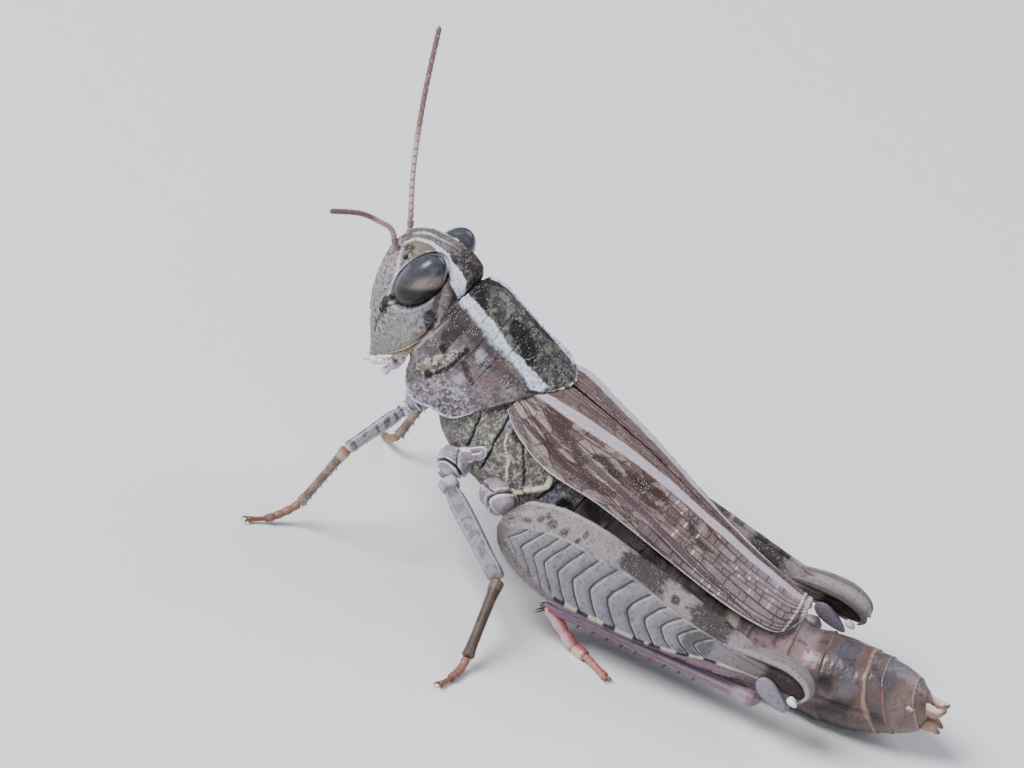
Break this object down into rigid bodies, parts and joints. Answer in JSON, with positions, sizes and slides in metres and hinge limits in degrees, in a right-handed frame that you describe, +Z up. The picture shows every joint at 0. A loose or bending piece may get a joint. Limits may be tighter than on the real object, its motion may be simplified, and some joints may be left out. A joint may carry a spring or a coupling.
{
  "type": "grasshopper",
  "caption": "Still life-size female Italian locust, a grey-brown short-horned grasshopper with pale shoulder stripes, standing on a flat floor with its belly resting and its hind legs folded",
  "frame": {"origin": "middle of the animal's footprint on the floor, under the belly", "axes": "+X toward the tail, +Y toward the animal's right side, +Z up; the floor is Z = 0"},
  "size_m": [0.0348, 0.0254, 0.0232],
  "materials": {
    "head_cuticle": "mottled grey brown chitin, fine grain",
    "compound_eye": "glossy dark blue-grey eye, brown below",
    "feeler": "matt red-brown joints with paler bands",
    "mouth": "pale pinkish soft palps and lip",
    "pronotum_cuticle": "dull pitted dark olive chitin with pale stripes",
    "thorax_cuticle": "dull mottled grey chitin",
    "wing_membrane": "leathery brown veined wing, pale shoulder stripe",
    "abdomen_cuticle": "glossy brown-pink chitin",
    "horn_blade": "hard cream horn",
    "leg_cuticle": "mottled grey-brown chitin",
    "shin_cuticle": "yellow-brown chitin",
    "thigh_cuticle": "pale grey chitin with chevron ridges",
    "red_shin": "rose red chitin with pale spines",
    "foot_cuticle": "rusty red chitin"
  },
  "bodies": {
    "root": {"head": "head_cuticle", "eye_left": "compound_eye", "eye_right": "compound_eye", "antenna_left": "feeler", "antenna_right": "feeler", "mouthparts": "mouth", "palps_left": "mouth", "palps_right": "mouth", "coxa_front_left": "leg_cuticle", "femur_front_left": "leg_cuticle", "tibia_front_left": "shin_cuticle", "tarsus_front_left": "foot_cuticle", "coxa_middle_left": "leg_cuticle", "femur_middle_left": "leg_cuticle", "tibia_middle_left": "shin_cuticle", "tarsus_middle_left": "foot_cuticle", "coxa_hind_left": "leg_cuticle", "femur_hind_left": "thigh_cuticle", "tibia_hind_left": "red_shin", "tarsus_hind_left": "foot_cuticle", "coxa_front_right": "leg_cuticle", "femur_front_right": "leg_cuticle", "tibia_front_right": "shin_cuticle", "tarsus_front_right": "foot_cuticle", "coxa_middle_right": "leg_cuticle", "femur_middle_right": "leg_cuticle", "tibia_middle_right": "shin_cuticle", "tarsus_middle_right": "foot_cuticle", "coxa_hind_right": "leg_cuticle", "femur_hind_right": "thigh_cuticle", "tibia_hind_right": "red_shin", "tarsus_hind_right": "foot_cuticle", "pronotum": "pronotum_cuticle", "thorax": "thorax_cuticle", "tegmen_left": "wing_membrane", "tegmen_right": "wing_membrane", "abdomen_front": "abdomen_cuticle", "abdomen_middle": "abdomen_cuticle", "abdomen_rear": "abdomen_cuticle", "abdomen_tip": "abdomen_cuticle", "ovipositor_upper": "horn_blade", "ovipositor_lower": "horn_blade"}
  },
  "joints": []
}
